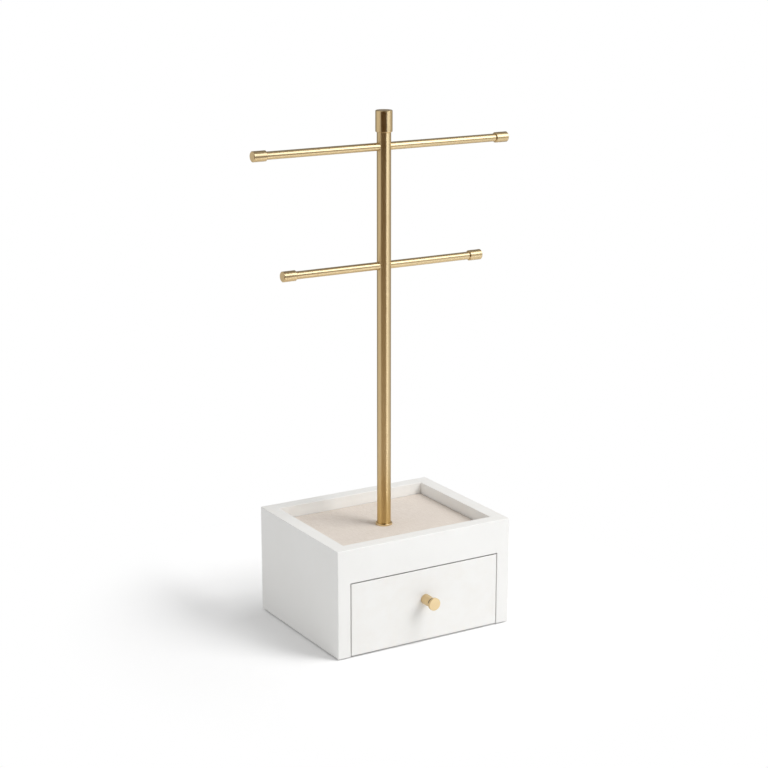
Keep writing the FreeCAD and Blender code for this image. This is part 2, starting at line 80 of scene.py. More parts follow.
CAMERA_AZIMUTH = math.radians(-30.766)
CAMERA_ELEVATION = math.radians(14.792)
CAMERA_DISTANCE = 1.78329
CAMERA_LENS = 89.359
SENSOR = 36.0
AIM_RIGHT = 0.000059
AIM_UP = 0.216243


def set_camera():
    """A long lens, level with the horizon, that looks down on the tray from the left of the front."""
    back = Vector((
        math.sin(CAMERA_AZIMUTH) * math.cos(CAMERA_ELEVATION),
        -math.cos(CAMERA_AZIMUTH) * math.cos(CAMERA_ELEVATION),
        math.sin(CAMERA_ELEVATION),
    ))
    right = Vector((0, 0, 1)).cross(back).normalized()
    up = back.cross(right)
    place = right * AIM_RIGHT + up * AIM_UP + back * CAMERA_DISTANCE
    data = bpy.data.cameras.new("camera")
    data.lens = CAMERA_LENS
    data.sensor_width = SENSOR
    data.clip_end = 100
    camera = bpy.data.objects.new("camera", data)
    camera.matrix_world = Matrix((
        (right.x, up.x, back.x, place.x),
        (right.y, up.y, back.y, place.y),
        (right.z, up.z, back.z, place.z),
        (0, 0, 0, 1),
    ))
    scene.collection.objects.link(camera)
    scene.camera = camera


# ---------------------------------------------------------------- making materials

def new_material(name):
    """(material, tree, shader, output) with a bare Principled shader."""
    material = bpy.data.materials.new(name)
    material.use_nodes = True
    tree = material.node_tree
    return material, tree, tree.nodes["Principled BSDF"], tree.nodes["Material Output"]


def add(tree, kind, feeds=None, **settings):
    """One node. Feeds sets its inputs by name or number, from a value or from another node's socket."""
    node = tree.nodes.new(kind)
    for name, value in settings.items():
        setattr(node, name, value)
    for name, value in (feeds or {}).items():
        if isinstance(value, bpy.types.NodeSocket):
            tree.links.new(value, node.inputs[name])
        else:
            node.inputs[name].default_value = value
    return node


def along(tree, scale=(1, 1, 1), shift=(0, 0, 0)):
    """Object coordinates in metres, shifted and stretched."""
    place = add(tree, "ShaderNodeTexCoord").outputs["Object"]
    feeds = {"Vector": place, "Location": shift, "Scale": scale}
    return add(tree, "ShaderNodeMapping", feeds).outputs["Vector"]


def cloud(tree, vector, scale, detail=3.0, roughness=0.5, distortion=0.0):
    """Noise from 0 to 1."""
    feeds = {
        "Vector": vector, "Scale": scale, "Detail": detail,
        "Roughness": roughness, "Distortion": distortion,
    }
    return add(tree, "ShaderNodeTexNoise", feeds).outputs[0]


def remap(tree, value, low, high, to_low=0.0, to_high=1.0, smooth=False):
    """Value from low..high to to_low..to_high, held at both ends."""
    feeds = {0: value, 1: low, 2: high, 3: to_low, 4: to_high}
    kind = "SMOOTHSTEP" if smooth else "LINEAR"
    return add(tree, "ShaderNodeMapRange", feeds, interpolation_type=kind).outputs[0]


def math_node(tree, operation, *values):
    """The result of one operation on values or value sockets."""
    return add(tree, "ShaderNodeMath", dict(enumerate(values)), operation=operation).outputs[0]


def mix(tree, factor, first, second, blend="MIX"):
    """Two colours or two colour sockets."""
    node = add(tree, "ShaderNodeMix", {"Factor": factor}, data_type="RGBA", blend_type=blend)
    for number, value in ((6, first), (7, second)):
        if isinstance(value, bpy.types.NodeSocket):
            tree.links.new(value, node.inputs[number])
        else:
            node.inputs[number].default_value = (*value, 1)
    return node.outputs[2]


def shade(tree, value, low, high, first, second):
    """First colour up to low, second from high, and a blend between them."""
    return mix(tree, remap(tree, value, low, high), first, second)


def band(tree, value, start, end, start_blur, end_blur):
    """1 between start and end, and 0 outside, with its two edges blurred by their own widths."""
    rise = remap(tree, value, start - start_blur / 2, start + start_blur / 2, smooth=True)
    fall = remap(tree, value, end - end_blur / 2, end + end_blur / 2, 1, 0, smooth=True)
    return math_node(tree, "MULTIPLY", rise, fall)


def relief(tree, height, depth, under=None):
    """Bump whose height 0..1 stands for depth metres."""
    feeds = {"Height": height, "Distance": depth, "Strength": 1.0}
    if under is not None:
        feeds["Normal"] = under
    return add(tree, "ShaderNodeBump", feeds).outputs["Normal"]


def split(tree, vector):
    """The X, Y and Z sockets of a vector."""
    return add(tree, "ShaderNodeSeparateXYZ", {"Vector": vector}).outputs


def fit(tree, shader, **inputs):
    """Sets the shader's inputs; words of a name are joined by an underscore."""
    for name, value in inputs.items():
        socket = shader.inputs[name.replace("_", " ")]
        if isinstance(value, bpy.types.NodeSocket):
            tree.links.new(value, socket)
        elif isinstance(value, tuple) and len(value) == 3:
            socket.default_value = (*value, 1)
        else:
            socket.default_value = value


# ---------------------------------------------------------------- finishes

SHADE_TONE = (0.20, 0.19, 0.18)
SHADE_PAST = 1 * MM              # past the drawer front's two ends
SHADE_THICK = 0.2 * MM           # above and below its height
SHADE_BLUR = 0.1 * MM
# painted shade in the seam over the drawer: its height, where it starts and ends from the front, and its
# strength
SEAM_SHADE = (
    (opening_top, 0.2 * MM, 14 * MM, 0.95),         # under the rail
    (drawer_high[2], 0.2 * MM, 1.8 * MM, 0.45),     # on the drawer front's upper edge
)


def shaded_seam(tree, place, tone):
    """The tone with painted shade in the seam, on the two faces that form it."""
    across, depth, height = split(tree, place)
    left, right = drawer_low[0] - SHADE_PAST, drawer_high[0] + SHADE_PAST
    seam = band(tree, across, left, right, SHADE_BLUR, SHADE_BLUR)
    for level, start, end, strength in SEAM_SHADE:
        over = band(tree, height, level - SHADE_THICK, level + SHADE_THICK, SHADE_BLUR, SHADE_BLUR)
        reach = band(tree, depth, -half_depth + start, -half_depth + end, 4 * SHADE_BLUR, 4 * SHADE_BLUR)
        painted_shade = math_node(tree, "MULTIPLY", math_node(tree, "MULTIPLY", seam, over), reach)
        tone = mix(tree, math_node(tree, "MULTIPLY", painted_shade, strength), tone, SHADE_TONE)
    return tone


def satin_lacquer():
    """Sprayed white satin lacquer: orange peel, soft clouds of gloss, and edges rubbed a little warm."""
    material, tree, shader, _ = new_material("satin_lacquer")
    place = along(tree)
    clouds = cloud(tree, place, 14, 4, 0.55)
    tone = shade(tree, clouds, 0.3, 0.7, (0.864, 0.859, 0.838), (0.888, 0.884, 0.866))
    nib = remap(tree, cloud(tree, place, 420, 2, 0.5), 0.74, 0.8, smooth=True)
    tone = mix(tree, math_node(tree, "MULTIPLY", nib, 0.25), tone, (0.78, 0.76, 0.72))
    arris = remap(tree, add(tree, "ShaderNodeNewGeometry").outputs["Pointiness"], 0.52, 0.6)
    patches = remap(tree, cloud(tree, place, 60, 5, 0.7), 0.4, 0.7, 0, 0.35)
    tone = mix(tree, math_node(tree, "MULTIPLY", arris, patches), tone, (0.83, 0.80, 0.75))
    # painted shade in the seam over the drawer, under the rail and on the drawer front's upper edge
    tone = shaded_seam(tree, place, tone)
    gloss = remap(tree, cloud(tree, place, 35, 5, 0.6), 0.25, 0.75, 0.36, 0.46)
    peel = cloud(tree, place, 620, 2, 0.4)
    swell = cloud(tree, place, 90, 2, 0.5)
    normal = relief(tree, peel, 0.035 * MM, relief(tree, swell, 0.08 * MM))
    fit(tree, shader, Base_Color=tone, Roughness=gloss, Normal=normal, IOR=1.47)
    return material


def fibreboard():
    """Bare fine fibreboard: fine felted flecks, with broad patches that are a little browner."""
    material, tree, shader, _ = new_material("fibreboard")
    place = along(tree)
    flecks = cloud(tree, along(tree, (1, 1, 2.5)), 900, 4, 0.7)
    broad = cloud(tree, place, 25, 4, 0.6)
    tone = shade(tree, flecks, 0.3, 0.7, (0.53, 0.41, 0.29), (0.69, 0.57, 0.43))
    tone = mix(tree, remap(tree, broad, 0.3, 0.7, 0, 0.3), tone, (0.58, 0.45, 0.31))
    gloss = remap(tree, broad, 0.2, 0.8, 0.78, 0.9)
    fit(tree, shader, Base_Color=tone, Roughness=gloss, Normal=relief(tree, flecks, 0.06 * MM))
    return material


def thin_paint():
    """One thin white coat on the drawer's boards, with fibres and roller stipple just showing."""
    material, tree, shader, _ = new_material("thin_paint")
    place = along(tree)
    fibres = cloud(tree, along(tree, (1, 3, 3)), 700, 4, 0.65)
    broad = cloud(tree, place, 30, 4, 0.6)
    stipple = cloud(tree, place, 1300, 2, 0.5)
    thin = remap(tree, math_node(tree, "MULTIPLY", fibres, broad), 0.2, 0.42, 0, 0.5)
    tone = mix(tree, thin, (0.845, 0.838, 0.815), (0.775, 0.75, 0.70))
    gloss = remap(tree, broad, 0.3, 0.7, 0.5, 0.64)
    normal = relief(tree, stipple, 0.05 * MM, relief(tree, fibres, 0.05 * MM))
    fit(tree, shader, Base_Color=tone, Roughness=gloss, Normal=normal)
    return material


def grey_card():
    """Recycled grey board: dull, with long pale and dark flecks."""
    material, tree, shader, _ = new_material("grey_card")
    flecks = cloud(tree, along(tree, (1, 0.35, 1)), 1100, 5, 0.7)
    broad = cloud(tree, along(tree), 60, 3, 0.5)
    tone = shade(tree, flecks, 0.28, 0.72, (0.41, 0.385, 0.345), (0.58, 0.55, 0.505))
    gloss = remap(tree, broad, 0.3, 0.7, 0.8, 0.92)
    fit(tree, shader, Base_Color=tone, Roughness=gloss, Normal=relief(tree, flecks, 0.05 * MM))
    return material


THREAD_PAIR = 0.62 * MM         # width of two threads


def linen_cloth():
    """Natural linen: two sets of uneven threads that pass over and under in pairs, with slubs."""
    material, tree, shader, _ = new_material("linen_cloth")
    place = along(tree)
    drift = remap(tree, cloud(tree, place, 70, 3, 0.5), 0.2, 0.8, -0.9 * MM, 0.9 * MM)
    phase = math.tau / THREAD_PAIR

    def wave(position, turns):
        moved = math_node(tree, "ADD", position, drift)
        return math_node(tree, "SINE", math_node(tree, "MULTIPLY", moved, turns))

    warp_place, weft_place, _ = split(tree, place)
    warp = math_node(tree, "ABSOLUTE", wave(warp_place, phase))
    weft = math_node(tree, "ABSOLUTE", wave(weft_place, phase))
    crossing = math_node(tree, "MULTIPLY", wave(warp_place, phase / 2), wave(weft_place, phase / 2))
    warp_over = remap(tree, crossing, -0.25, 0.25)
    weft_over = math_node(tree, "SUBTRACT", 1.0, warp_over)
    height = math_node(
        tree, "ADD",
        math_node(tree, "MULTIPLY", warp, warp_over), math_node(tree, "MULTIPLY", weft, weft_over),
    )
    weft_slub = cloud(tree, along(tree, (90, 1500, 1)), 1, 3, 0.6)
    warp_slub = cloud(tree, along(tree, (1500, 90, 1), shift=(3, 7, 0)), 1, 3, 0.6)
    slubs = math_node(tree, "ADD", weft_slub, warp_slub)
    broad = cloud(tree, place, 28, 4, 0.6)
    flax = shade(tree, slubs, 0.75, 1.25, (0.755, 0.67, 0.59), (0.88, 0.805, 0.735))
    flax = mix(tree, remap(tree, broad, 0.3, 0.7, 0, 0.35), flax, (0.78, 0.70, 0.63))
    # painted shade: darker where the weave lies low, between the threads
    tone = mix(tree, remap(tree, height, 0.0, 0.55, 0.35, 0), flax, (0.61, 0.525, 0.445))
    hairs = cloud(tree, place, 2600, 3, 0.7)
    fuzz = relief(tree, slubs, 0.08 * MM, relief(tree, hairs, 0.03 * MM))
    normal = relief(tree, height, 0.10 * MM, fuzz)
    gloss = remap(tree, slubs, 0.7, 1.3, 0.78, 0.92)
    fit(
        tree, shader, Base_Color=tone, Roughness=gloss, Normal=normal,
        Sheen_Weight=0.25, Sheen_Roughness=0.5, Sheen_Tint=(0.95, 0.92, 0.86), Specular_IOR_Level=0.25,
    )
    return material


def felt_cloth(name, dark, pale, sheen):
    """Pressed felt: matted fibres in every direction, small clumps and a soft bloom at glancing angles."""
    material, tree, shader, _ = new_material(name)
    place = along(tree)
    fibres = cloud(tree, place, 1500, 5, 0.75, 1.2)
    clumps = cloud(tree, place, 220, 4, 0.6, 0.6)
    broad = cloud(tree, place, 22, 3, 0.5)
    tone = shade(tree, fibres, 0.3, 0.7, dark, pale)
    tone = mix(tree, remap(tree, clumps, 0.35, 0.7, 0, 0.4), tone, pale)
    tone = mix(tree, remap(tree, broad, 0.3, 0.7, 0, 0.25), tone, dark)
    normal = relief(tree, fibres, 0.12 * MM, relief(tree, clumps, 0.25 * MM))
    gloss = remap(tree, clumps, 0.2, 0.8, 0.88, 0.98)
    fit(
        tree, shader, Base_Color=tone, Roughness=gloss, Normal=normal,
        Sheen_Weight=sheen, Sheen_Roughness=0.6, Specular_IOR_Level=0.15,
    )
    return material


def beech_wood():
    """Bare beech dowel: straight pinkish grain along the peg with short dark rays."""
    material, tree, shader, _ = new_material("beech_wood")
    grain = cloud(tree, along(tree, (40, 900, 900)), 1, 4, 0.6)
    rays = remap(tree, cloud(tree, along(tree, (300, 1800, 1800)), 1, 2, 0.5), 0.62, 0.72)
    tone = shade(tree, grain, 0.3, 0.7, (0.62, 0.44, 0.28), (0.76, 0.60, 0.43))
    tone = mix(tree, math_node(tree, "MULTIPLY", rays, 0.6), tone, (0.42, 0.27, 0.16))
    gloss = remap(tree, grain, 0.3, 0.7, 0.6, 0.75)
    fit(tree, shader, Base_Color=tone, Roughness=gloss, Normal=relief(tree, grain, 0.04 * MM))
    return material


BRASS_DEEP = (0.735, 0.545, 0.285)
BRASS_PALE = (0.825, 0.64, 0.37)
BRASS_SPOT = (0.55, 0.38, 0.18)
# painted shade near the post's foot: a deeper tint that stands in for a darker reflection
BRASS_FOOT_SHADE = (0.72, 0.47, 0.155)
# painted shade in the knob's neck: a dark, dull tone
NECK_SHADE_TONE = (0.05, 0.03, 0.012)
FOOT_SHADE_REACH = 80 * MM            # how far up from the deck the post is painted darker, as shade for a darker reflection near its foot
RING_RELIEF = 0.0003 * MM

# roughness of the smoothest and the dullest patches
POST_GLOSS = (0.31, 0.35)
BAR_GLOSS = (0.28, 0.31)
TURNED_GLOSS = (0.28, 0.33)
RING_GLOSS = (0.18, 0.23)
# how far the shine is drawn out along the part's axis
POST_STRETCH, BAR_STRETCH, TURNED_STRETCH, RING_STRETCH = 1.0, 0.85, 0.8, 0.0

# the hollow behind the knob's head, from the knob's face: painted shade lies in its upper half
NECK_START, NECK_END = 1.7 * MM, 4.2 * MM
NECK_BLUR = 0.3 * MM
SHADE_FROM, SHADE_TO = 0.5 * MM, 2 * MM     # above the knob's axis


def ring_marks(tree, position, scale, detail, roughness):
    """Noise that changes only along the axis, as the marks of turning and polishing do."""
    stretched = math_node(tree, "MULTIPLY", position, scale)
    marks = add(tree, "ShaderNodeCombineXYZ", {0: stretched}).outputs[0]
    return cloud(tree, marks, 1, detail, roughness)


def tube_brass(name, axis, gloss_range, stretch, foot_shaded=False):
    """Clear-lacquered brass tube, polished round and round its axis (0 X, 2 Z)."""
    material, tree, shader, _ = new_material(name)
    place = along(tree)
    position = split(tree, place)[axis]
    rings = ring_marks(tree, position, 4200, 4, 0.65)
    broad = cloud(tree, place, 38, 4, 0.55)
    spots = remap(tree, cloud(tree, place, 330, 3, 0.55), 0.68, 0.78, smooth=True)
    tone = mix(tree, remap(tree, rings, 0.25, 0.75, 0.3, 0.7), BRASS_DEEP, BRASS_PALE)
    tone = mix(tree, remap(tree, broad, 0.3, 0.7, 0, 0.35), tone, BRASS_PALE)
    tone = mix(tree, math_node(tree, "MULTIPLY", spots, 0.08), tone, BRASS_SPOT)
    # painted shade: deeper tint towards the deck, standing in for a darker reflection at the post's foot
    if foot_shaded:
        low_down = remap(tree, position, deck_high[2], deck_high[2] + FOOT_SHADE_REACH, 0.75, 0, smooth=True)
        tone = mix(tree, low_down, tone, BRASS_FOOT_SHADE)
    gloss = remap(tree, broad, 0.25, 0.75, *gloss_range)
    way = add(tree, "ShaderNodeCombineXYZ", {axis: 1.0}).outputs[0]
    normal = relief(tree, rings, RING_RELIEF)
    fit(
        tree, shader, Base_Color=tone, Metallic=1.0, Roughness=gloss, Normal=normal,
        Anisotropic=stretch, Tangent=way,
    )
    return material


def turned_tangent(tree, axis):
    """A tangent along the axis on a turned part's sides, and across it on its two end faces."""
    normal = add(tree, "ShaderNodeNewGeometry").outputs["Normal"]
    facing = math_node(tree, "ABSOLUTE", split(tree, normal)[axis])
    end_face = remap(tree, facing, 0.7, 0.72)
    side_face = math_node(tree, "SUBTRACT", 1.0, end_face)
    return add(tree, "ShaderNodeCombineXYZ", {axis: side_face, (axis + 1) % 3: end_face}).outputs[0]


def turned_brass(name, axis, gloss_range, stretch, neck=None):
    """Lathe-turned satin brass: fine rings round the axis (0 X, 1 Y, 2 Z).

    Neck is where the painted shade starts and ends along the axis, and the axis's height.
    """
    material, tree, shader, _ = new_material(name)
    place = along(tree)
    position = split(tree, place)[axis]
    rings = ring_marks(tree, position, 5200, 3, 0.6)
    broad = cloud(tree, place, 60, 4, 0.55)
    tone = shade(tree, rings, 0.25, 0.75, BRASS_DEEP, BRASS_PALE)
    tone = mix(tree, remap(tree, broad, 0.3, 0.7, 0, 0.35), tone, BRASS_PALE)
    gloss = remap(tree, broad, 0.25, 0.75, *gloss_range)
    if neck:
        start, end, centre = neck
        # painted shade: dark, dull and not metal in the upper half of the neck's hollow
        height = split(tree, place)[2]
        upper_half = remap(tree, height, centre + SHADE_FROM, centre + SHADE_TO, smooth=True)
        hollow = band(tree, position, start, end, NECK_BLUR, NECK_BLUR)
        neck_shade = math_node(tree, "MULTIPLY", hollow, upper_half)
        tone = mix(tree, math_node(tree, "MULTIPLY", neck_shade, 0.97), tone, NECK_SHADE_TONE)
        metal = math_node(tree, "SUBTRACT", 1.0, neck_shade)
        fit(tree, shader, Metallic=metal, Specular_IOR_Level=remap(tree, neck_shade, 0, 1, 0.5, 0.1))
    else:
        fit(tree, shader, Metallic=1.0)
    normal = relief(tree, rings, RING_RELIEF)
    fit(
        tree, shader, Base_Color=tone, Roughness=gloss, Normal=normal,
        Anisotropic=stretch, Tangent=turned_tangent(tree, axis),
    )
    return material


def zinc_steel():
    """Bright zinc plate: a bluish mottle of small crystals over steel, with turning marks."""
    material, tree, shader, _ = new_material("zinc_steel")
    place = along(tree)
    crystals = add(tree, "ShaderNodeTexVoronoi", {"Vector": place, "Scale": 1100.0}).outputs["Color"]
    mottle = add(tree, "ShaderNodeRGBToBW", {0: crystals}).outputs[0]
    scuffs = cloud(tree, along(tree, (1, 1, 8)), 420, 4, 0.7)
    tone = mix(tree, mottle, (0.60, 0.61, 0.63), (0.70, 0.70, 0.70))
    gloss = remap(tree, scuffs, 0.3, 0.7, 0.24, 0.42)
    normal = relief(tree, scuffs, 0.01 * MM)
    fit(tree, shader, Base_Color=tone, Metallic=1.0, Roughness=gloss, Normal=normal)
    return material


# ---------------------------------------------------------------- stage: floor, lamps and mirror room

FLOOR_RADIUS = 20
FLOOR_TONE = 0.80               # the floor's tone where the object sees it
FLOOR_SHOWN = 0.97              # and where the camera sees it
FLOOR_LIFT = 0.05               # glow added to the floor on the lit side
LIFT_REACH = (-0.12, 0.02)      # across the floor, from the shaded left to the lit right
BEHIND_LIFT = 0.13              # light that reaches round the back left corner
BEHIND_X, BEHIND_Y = (-0.15, -0.10), (0.05, 0.095)
SHADOW_REACH = (0.16, 0.31)     # where the floor fades from shaded to plain white, from the middle
WORLD_FILL = 0.52               # strength of the soft light from all round
# lamps: azimuth, elevation, distance, width, height, power
KEY = (37, 34, 2.2, 1.0, 0.9, 18.5)
HIGH_BOX = (48, 62, 2.2, 0.9, 1.2, 17.4)
REFLECTOR = (-95, 12, 2.0, 1.4, 1.0, 4.6)
LAMP_MIDDLE = 0.1               # height that the lamps circle and face
ROOM_RADIUS, ROOM_HEIGHT = 0.45, 1.2
ROUND = 96                      # sides of the floor and of the mirror room


def seen_by(tree, *rays):
    """1 for the named kinds of ray, otherwise 0."""
    path = add(tree, "ShaderNodeLightPath")
    total = path.outputs[rays[0]]
    for name in rays[1:]:
        total = math_node(tree, "MAXIMUM", total, path.outputs[name])
    return total


def direction(azimuth, elevation):
    """Unit vector; azimuth in degrees from the front (-Y) towards +X."""
    a, e = math.radians(azimuth), math.radians(elevation)
    return Vector((math.sin(a) * math.cos(e), -math.cos(a) * math.cos(e), math.sin(e)))


def set_world():
    """White to the camera and to mirrors, and a plain soft fill for everything else."""
    world = bpy.data.worlds.new("studio")
    world.use_nodes = True
    tree = world.node_tree
    seen = seen_by(tree, "Is Camera Ray", "Is Glossy Ray")
    background = tree.nodes["Background"]
    background.inputs["Color"].default_value = (1, 1, 1, 1)
    tree.links.new(remap(tree, seen, 0, 1, WORLD_FILL, 1.0), background.inputs["Strength"])
    scene.world = world


def lamp(name, azimuth, elevation, distance, width, height, power):
    """A soft box that mirrors don't see, because the mirror room shows them its own."""
    data = bpy.data.lights.new(name, "AREA")
    data.shape = "RECTANGLE"
    data.size, data.size_y = width, height
    data.energy = power
    light = bpy.data.objects.new(name, data)
    way = direction(azimuth, elevation)
    light.location = way * distance + Vector((0, 0, LAMP_MIDDLE))
    light.rotation_euler = way.to_track_quat("Z", "Y").to_euler()
    light.visible_glossy = False
    scene.collection.objects.link(light)


def stage_object(name, bm, material):
    """An object of the stage, which isn't part of the stand."""
    data = bpy.data.meshes.new(name)
    bm.to_mesh(data)
    bm.free()
    data.materials.append(material)
    made = bpy.data.objects.new(name, data)
    scene.collection.objects.link(made)
    return made


def set_floor():
    """A white floor that keeps the shadow near the object and fades to plain white further out."""
    material, tree, _, output = new_material("white_floor")
    tree.nodes.remove(tree.nodes["Principled BSDF"])
    x, y, _ = split(tree, along(tree))
    square = math_node(tree, "ADD", math_node(tree, "MULTIPLY", x, x), math_node(tree, "MULTIPLY", y, y))
    reach = math_node(tree, "POWER", square, 0.5)
    hidden = add(tree, "ShaderNodeBsdfDiffuse", {"Color": (FLOOR_TONE, FLOOR_TONE, FLOOR_TONE, 1)})
    shown = add(tree, "ShaderNodeBsdfDiffuse", {"Color": (FLOOR_SHOWN, FLOOR_SHOWN, FLOOR_SHOWN, 1)})
    behind = math_node(
        tree, "MULTIPLY", remap(tree, x, *BEHIND_X, smooth=True),
        remap(tree, y, *BEHIND_Y, 0, BEHIND_LIFT, smooth=True),
    )
    lifted = math_node(tree, "MAXIMUM", remap(tree, x, *LIFT_REACH, 0, FLOOR_LIFT), behind)
    lift = add(tree, "ShaderNodeEmission", {"Strength": lifted})
    near = add(tree, "ShaderNodeAddShader", {0: shown.outputs[0], 1: lift.outputs[0]})
    white = add(tree, "ShaderNodeEmission", {"Strength": 1.0})
    fade = remap(tree, reach, *SHADOW_REACH, smooth=True)
    seen = add(tree, "ShaderNodeMixShader", {0: fade, 1: near.outputs[0], 2: white.outputs[0]})
    camera = seen_by(tree, "Is Camera Ray")
    both = add(tree, "ShaderNodeMixShader", {0: camera, 1: hidden.outputs[0], 2: seen.outputs[0]})
    tree.links.new(both.outputs[0], output.inputs["Surface"])
    bm = bmesh.new()
    bmesh.ops.create_circle(bm, cap_ends=True, radius=FLOOR_RADIUS, segments=ROUND)
    stage_object("floor", bm, material)


def room_tone(tree):
    """The mirror room's walls: pale, with a dark gap at the front left, a glow beside it and one soft box.

    Azimuths are in degrees from the front towards +X, heights in metres.
    """
    x, y, height = split(tree, along(tree))
    turn = math_node(tree, "ARCTAN2", x, math_node(tree, "MULTIPLY", y, -1.0))
    azimuth = math_node(tree, "MULTIPLY", turn, 180 / math.pi)

    back = shade(tree, height, 0.4, 0.8, (0.34, 0.33, 0.31), (0.24, 0.24, 0.24))
    left = shade(tree, height, 0.4, 0.9, (0.74, 0.73, 0.71), (0.55, 0.54, 0.52))
    right = shade(tree, height, 0.2, 0.45, (0.66, 0.65, 0.63), (0.55, 0.54, 0.52))
    gap = shade(tree, height, 0.0, 0.32, (0.57, 0.39, 0.14), (0.040, 0.014, 0.0))
    tone = mix(tree, band(tree, azimuth, -146, -60, 24, 4), back, left)
    tone = mix(tree, band(tree, azimuth, 0, 100, 4, 30), tone, right)
    tone = mix(tree, band(tree, azimuth, -75, 15, 10, 12), tone, gap)

    low_down = remap(tree, height, 0.24, 0.36, 1, 0)
    glow = math_node(tree, "MULTIPLY", band(tree, azimuth, 14, 62, 8, 12), low_down)
    glow_tone = shade(tree, azimuth, 26, 36, (1.18, 1.25, 1.38), (1.0, 1.06, 1.16))
    tone = mix(tree, glow, tone, glow_tone)

    lower_still = remap(tree, height, 0.0, 0.24, 1, 0)
    foot_glow = math_node(tree, "MULTIPLY", band(tree, azimuth, 12, 31, 8, 6), lower_still)
    foot_tone = shade(tree, height, 0.0, 0.08, (4.4, 4.9, 5.8), (1.9, 1.95, 2.05))
    tone = mix(tree, foot_glow, tone, foot_tone)

    box_height = band(tree, height, 0.51, 1.02, 0.05, 0.05)
    box = math_node(tree, "MULTIPLY", band(tree, azimuth, 12, 64, 8, 8), box_height)
    return mix(tree, box, tone, (2.85, 3.1, 3.5))


def mirror_room():
    """A round room that only metal and gloss see."""
    material, tree, _, output = new_material("mirror_room")
    tree.nodes.remove(tree.nodes["Principled BSDF"])
    wall_light = add(tree, "ShaderNodeEmission", {"Color": room_tone(tree)})
    tree.links.new(wall_light.outputs[0], output.inputs["Surface"])

    bm = bmesh.new()
    bmesh.ops.create_circle(bm, radius=ROOM_RADIUS, segments=ROUND)
    raised = new_verts(bmesh.ops.extrude_edge_only(bm, edges=bm.edges[:]))
    bmesh.ops.translate(bm, vec=(0, 0, ROOM_HEIGHT), verts=raised)
    bmesh.ops.contextual_create(bm, geom=raised)
    room = stage_object("mirror_room", bm, material)
    room.visible_camera = False
    room.visible_diffuse = False
    room.visible_transmission = False
    room.visible_volume_scatter = False
    room.visible_shadow = False


def set_stage():
    """Everything round the stand except the camera."""
    set_world()
    set_floor()
    lamp("key", *KEY)
    lamp("high_box", *HIGH_BOX)
    lamp("reflector", *REFLECTOR)
    mirror_room()


# ---------------------------------------------------------------- pieces

NEAR = 1e-5                     # two places closer than this are one
SLACK = 0.1 * MM                # room left where faces are picked by place
SQUARE = 0.9999                 # a face that leans less than this is square to the axes


def finish_piece(name, bm, material, body, slot, *nodes):
    """Makes the object at the origin, flat where it is square to the axes and smooth where it is round."""
    bmesh.ops.recalc_face_normals(bm, faces=bm.faces[:])
    for face in bm.faces:
        face.smooth = max(abs(value) for value in face.normal) < SQUARE
    data = bpy.data.meshes.new(name)
    bm.to_mesh(data)
    bm.free()
    data.materials.append(material)
    piece = bpy.data.objects.new(name, data)
    scene.collection.objects.link(piece)
    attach(piece, body)
    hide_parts(*nodes)
    return piece


def new_verts(result):
    """The vertices that an operator made."""
    return [g for g in result["geom"] if isinstance(g, bmesh.types.BMVert)]


def new_edges(result):
    """The edges that an operator made."""
    return [g for g in result["geom"] if isinstance(g, bmesh.types.BMEdge)]


REBATE_LEFT = 0.2 * MM          # what is left of the rebate's depth in the front wall


def case_skin(material):
    """The painted case in one seamless skin, with the deck's groove, floor's rebate and opening."""
    # the wall's section: how far in from the outer face, and how high
    section = [
        (0, case_bottom), (0, case_top), (wall, case_top), (wall, deck_high[2]),
        (wall - groove_depth, deck_high[2]), (wall - groove_depth, deck_low[2]), (wall, deck_low[2]),
        (wall, floor_high[2]), (wall - rebate_depth, floor_high[2]), (wall - rebate_depth, case_bottom),
    ]
    bm = bmesh.new()
    bmesh.ops.create_grid(bm, x_segments=1, y_segments=1, size=1)
    reach = max(v.co.x for v in bm.verts)
    bmesh.ops.scale(bm, vec=(half_width / reach, half_depth / reach, 1), verts=bm.verts[:])
    bmesh.ops.translate(bm, vec=(0, 0, case_bottom), verts=bm.verts[:])
    bmesh.ops.delete(bm, geom=bm.faces[:], context="FACES_ONLY")
    first = ring = bm.edges[:]
    for (inset, low), (next_inset, high) in zip(section, section[1:]):
        made = bmesh.ops.extrude_edge_only(bm, edges=ring)
        ring = [e for e in new_edges(made) if all(v in new_verts(made) for v in e.verts)]
        shrink_x = (half_width - next_inset) / (half_width - inset)
        shrink_y = (half_depth - next_inset) / (half_depth - inset)
        bmesh.ops.scale(bm, vec=(shrink_x, shrink_y, 1), verts=new_verts(made))
        bmesh.ops.translate(bm, vec=(0, 0, high - low), verts=new_verts(made))
    bmesh.ops.bridge_loops(bm, edges=first + ring)

    # the front wall has next to no rebate, and the drawer's opening goes through it
    rebate_y = -(half_depth - wall + rebate_depth)
    stop = [v for v in bm.verts if abs(v.co.y - rebate_y) < NEAR]
    bmesh.ops.translate(bm, vec=(0, rebate_depth - REBATE_LEFT, 0), verts=stop)
    cut_opening(bm)
    soften(bm)
    finish_piece(
        "case_lacquer", bm, material, "case", "lacquer",
        "left_side_panel", "right_side_panel", "front_rail", "back_panel",
    )


def front_faces(bm):
    """The faces of the front wall that don't look sideways, without the rim."""
    def in_front(face):
        middle = face.calc_center_median()
        below_rim = middle.z < case_top - SLACK
        return below_rim and middle.y < -inner_y + SLACK and abs(face.normal.x) < 0.5

    return [f for f in bm.faces if in_front(f)]


